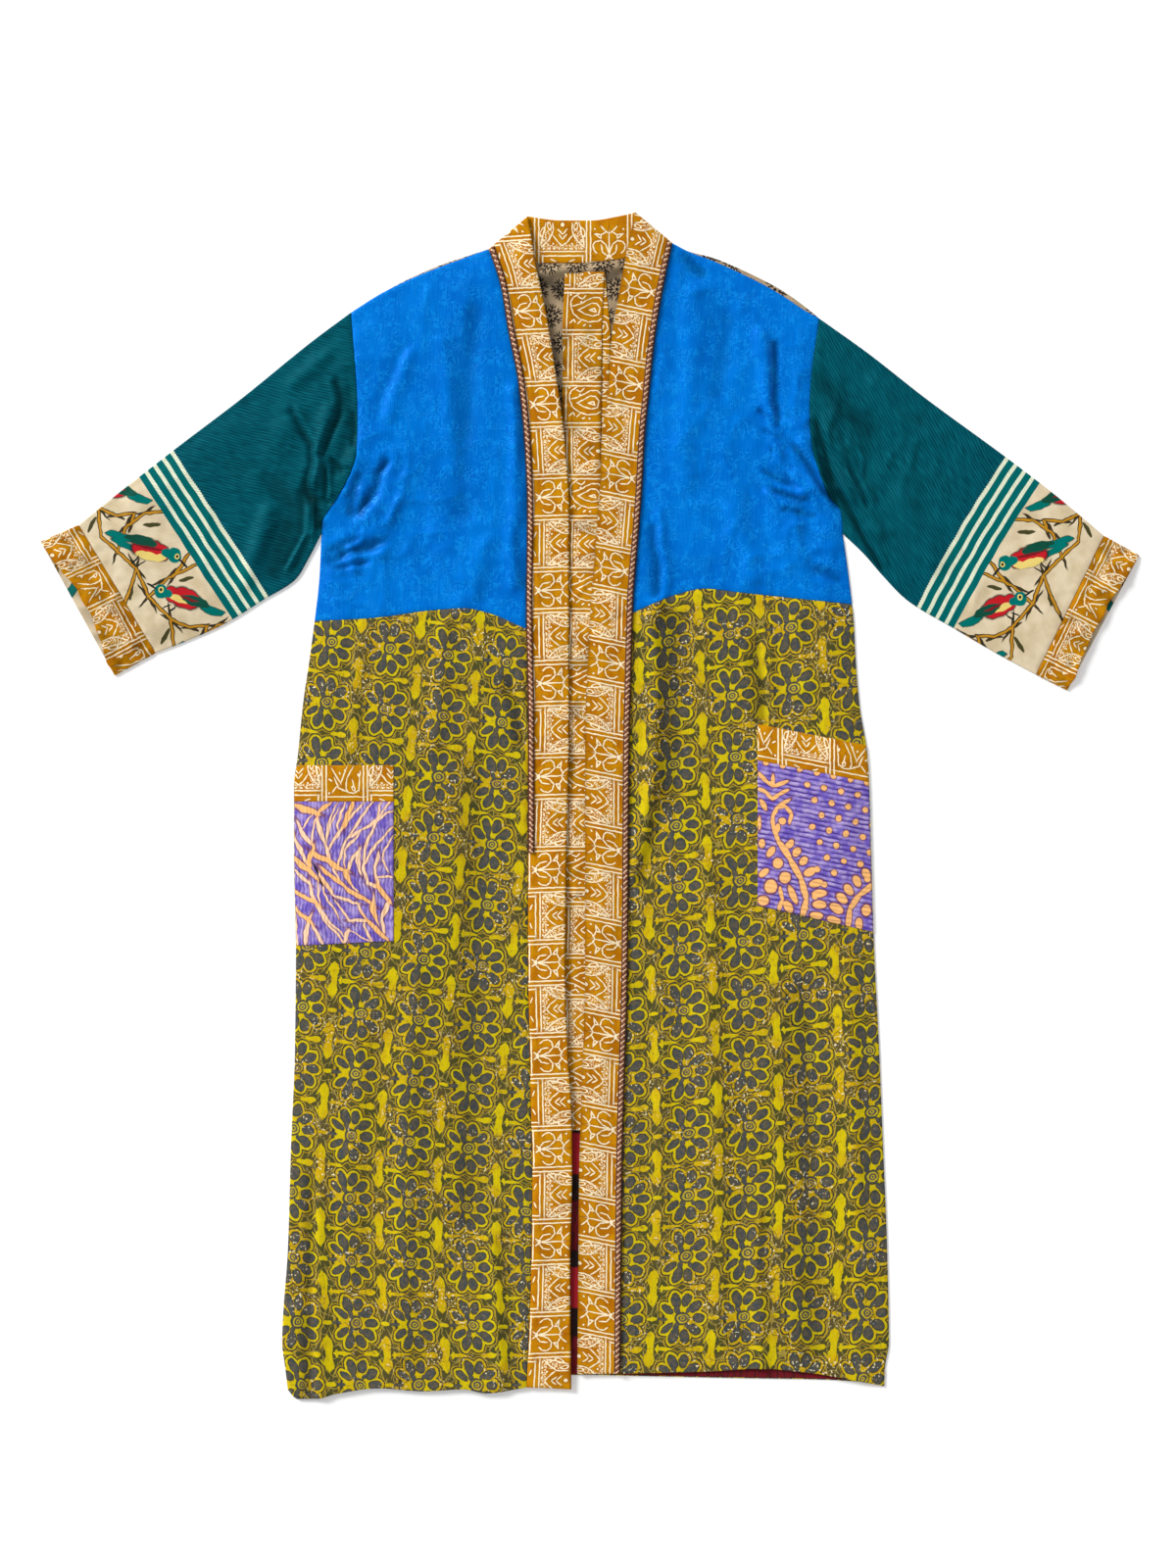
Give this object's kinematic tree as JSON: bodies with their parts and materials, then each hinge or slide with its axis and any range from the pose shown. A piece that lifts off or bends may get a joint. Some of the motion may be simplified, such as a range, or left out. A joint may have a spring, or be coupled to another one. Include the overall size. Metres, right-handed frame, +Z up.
{
  "type": "kimono",
  "caption": "Long patchwork kimono robe with straight sleeves, contrast bands, patch pockets and a matching loose belt, laid flat front side up.",
  "frame": {"origin": "the middle of the bounding box at the underside, on the surface that the garment lies on", "axes": "+Z up from the surface through the front of the garment; +Y from the hem to the neck; +X to the wearer's left side, which is the right of the picture"},
  "size_m": [1.12, 1.2098, 0.0086],
  "materials": {
    "blue_jacquard": "satin silk with a tone-on-tone woven swirl",
    "flower_print": "matt crepe silk, block-printed with grey flowers on yellow-olive",
    "ochre_batik": "matt cotton, ochre with cream resist lines",
    "teal_ribbed": "fine ribbed silk with a woven striped border",
    "sprig_print": "matt silk, taupe with dark leaf sprigs",
    "dark_lining": "thin dark brown and red printed lining",
    "violet_print": "finely pleated violet silk with tan print",
    "twisted_braid": "two-strand twisted braid"
  },
  "bodies": {
    "root": {"back_yoke": "sprig_print", "back_skirt": "flower_print", "back_skirt_lining": "dark_lining", "back_neck_band": "ochre_batik", "belt": "ochre_batik", "right_front_skirt": "flower_print", "right_front_yoke": "blue_jacquard", "right_front_band": "ochre_batik", "right_braid": "twisted_braid", "right_pocket": "violet_print", "right_pocket_band": "ochre_batik", "left_front_skirt": "flower_print", "left_front_yoke": "blue_jacquard", "left_front_band": "ochre_batik", "left_braid": "twisted_braid", "left_pocket": "violet_print", "left_pocket_band": "ochre_batik", "right_sleeve": "teal_ribbed", "right_cuff": "ochre_batik", "left_sleeve": "teal_ribbed", "left_cuff": "ochre_batik"}
  },
  "joints": []
}
